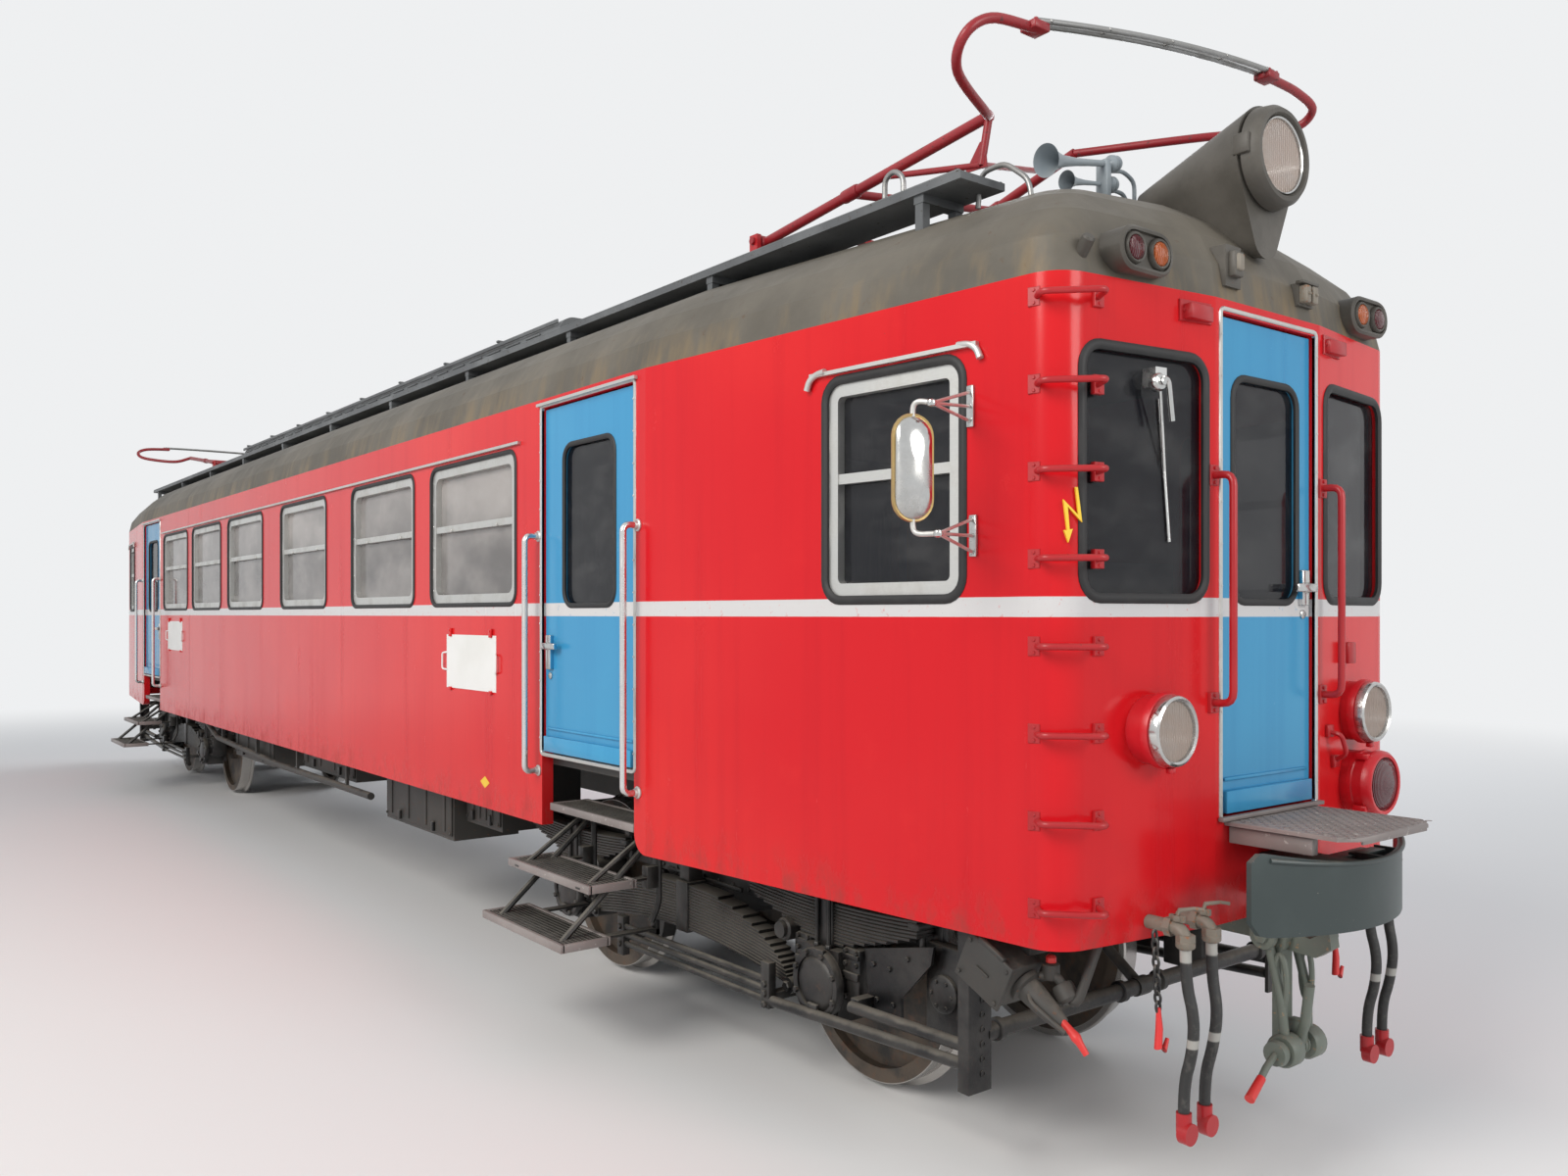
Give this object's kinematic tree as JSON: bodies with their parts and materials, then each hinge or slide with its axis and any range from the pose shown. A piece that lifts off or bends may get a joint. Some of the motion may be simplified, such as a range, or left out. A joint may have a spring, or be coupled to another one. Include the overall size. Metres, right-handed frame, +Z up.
{
  "type": "narrow-gauge electric motor coach",
  "caption": "Narrow-gauge electric railcar with a cab at each end, bogies with leaf springs, hinged doors and lyre bow collectors on the roof.",
  "frame": {"origin": "middle of the car, at the height of the lowest point of the wheel flanges", "axes": "+X forward along the car to the end with the brake hoses, +Y to the car's left, +Z up"},
  "size_m": [16.2806, 3.12, 4.1658],
  "materials": {
    "red_paint": "gloss, worn",
    "blue_paint": "gloss",
    "roof_paint": "matt, weathered",
    "black_paint": "matt, dusty",
    "grey_paint": "satin",
    "aluminium": "satin",
    "steel": "bright",
    "iron": "rough, oily and dusty",
    "glass": "clear, dark behind",
    "lens": "ribbed",
    "rubber": "matt",
    "seat_cover": "satin",
    "panel_wood": "varnished"
  },
  "bodies": {
    "car": {"cab_front": "red_paint", "cab_rear": "red_paint", "side_left": "red_paint", "side_right": "red_paint", "roof": "roof_paint", "underframe": "black_paint", "window_frames": "aluminium", "window_glass": "glass", "window_gutters": "aluminium", "walkways": "grey_paint", "resistor_cover": "aluminium", "collector_bases": "red_paint", "lamp_housings": "roof_paint", "lamp_lenses": "lens", "horns": "grey_paint", "end_rails": "red_paint", "door_rails": "steel", "side_steps": "grey_paint", "end_steps": "grey_paint", "buffers": "grey_paint", "couplings": "iron", "jumpers": "black_paint", "mirrors": "steel", "wipers": "steel", "equipment": "black_paint", "pipes": "black_paint", "partitions": "panel_wood", "seats": "seat_cover", "desks": "grey_paint", "hose_cocks": "iron", "hose_heads": "red_paint", "hose_right_outer": "rubber", "hose_right_inner": "rubber", "hose_left_inner": "rubber", "hose_left_outer": "rubber"},
    "door_front_left": {"door_front_left": "blue_paint", "door_glass_front_left": "glass"},
    "door_front_right": {"door_front_right": "blue_paint", "door_glass_front_right": "glass"},
    "door_rear_left": {"door_rear_left": "blue_paint", "door_glass_rear_left": "glass"},
    "door_rear_right": {"door_rear_right": "blue_paint", "door_glass_rear_right": "glass"},
    "door_end_front": {"door_end_front": "blue_paint", "door_glass_end_front": "glass"},
    "door_end_rear": {"door_end_rear": "blue_paint", "door_glass_end_rear": "glass"},
    "bogie_front": {"bogie_frame_front": "iron", "bogie_guard_front": "iron", "bogie_springs_front": "iron"},
    "collector_front": {"collector_front": "red_paint"},
    "bogie_rear": {"bogie_frame_rear": "iron", "bogie_guard_rear": "iron", "bogie_springs_rear": "iron"},
    "collector_rear": {"collector_rear": "red_paint"},
    "wheelset_1": {"wheelset_1": "iron"},
    "wheelset_2": {"wheelset_2": "iron"},
    "wheelset_3": {"wheelset_3": "iron"},
    "wheelset_4": {"wheelset_4": "iron"}
  },
  "joints": [
    {"name": "bogie_front_swivel", "type": "hinge", "parent": "car", "child": "bogie_front", "pos_m": [5.22, 0, 1.045], "axis": [0, 0, 1], "range_deg": [-3.5, 3.5]},
    {"name": "collector_front_raise", "type": "hinge", "parent": "car", "child": "collector_front", "pos_m": [5.35, 0, 3.72], "axis": [0, -1, 0], "range_deg": [0, 40]},
    {"name": "end_door_front_hinge", "type": "hinge", "parent": "car", "child": "door_end_front", "pos_m": [7.628, -0.289, 2.11], "axis": [0, 0, 1], "range_deg": [0, 85]},
    {"name": "bogie_rear_swivel", "type": "hinge", "parent": "car", "child": "bogie_rear", "pos_m": [-5.22, 0, 1.045], "axis": [0, 0, 1], "range_deg": [-3.5, 3.5]},
    {"name": "collector_rear_raise", "type": "hinge", "parent": "car", "child": "collector_rear", "pos_m": [-5.35, 0, 3.72], "axis": [0, 1, 0], "range_deg": [0, 40]},
    {"name": "end_door_rear_hinge", "type": "hinge", "parent": "car", "child": "door_end_rear", "pos_m": [-7.628, 0.289, 2.11], "axis": [0, 0, 1], "range_deg": [0, 85]},
    {"name": "wheelset_1_spin", "type": "hinge", "parent": "bogie_front", "child": "wheelset_1", "pos_m": [6.27, 0, 0.477], "axis": [0, 1, 0], "continuous": true},
    {"name": "wheelset_2_spin", "type": "hinge", "parent": "bogie_front", "child": "wheelset_2", "pos_m": [4.17, 0, 0.477], "axis": [0, 1, 0], "continuous": true},
    {"name": "wheelset_3_spin", "type": "hinge", "parent": "bogie_rear", "child": "wheelset_3", "pos_m": [-4.17, 0, 0.477], "axis": [0, 1, 0], "continuous": true},
    {"name": "wheelset_4_spin", "type": "hinge", "parent": "bogie_rear", "child": "wheelset_4", "pos_m": [-6.27, 0, 0.477], "axis": [0, 1, 0], "continuous": true},
    {"name": "door_front_left_hinge", "type": "hinge", "parent": "car", "child": "door_front_left", "pos_m": [5.434, 1.148, 2.11], "axis": [0, 0, 1], "range_deg": [0, 85]},
    {"name": "door_front_right_hinge", "type": "hinge", "parent": "car", "child": "door_front_right", "pos_m": [5.434, -1.148, 2.11], "axis": [0, 0, -1], "range_deg": [0, 85]},
    {"name": "door_rear_left_hinge", "type": "hinge", "parent": "car", "child": "door_rear_left", "pos_m": [-5.434, 1.148, 2.11], "axis": [0, 0, -1], "range_deg": [0, 85]},
    {"name": "door_rear_right_hinge", "type": "hinge", "parent": "car", "child": "door_rear_right", "pos_m": [-5.434, -1.148, 2.11], "axis": [0, 0, 1], "range_deg": [0, 85]}
  ]
}
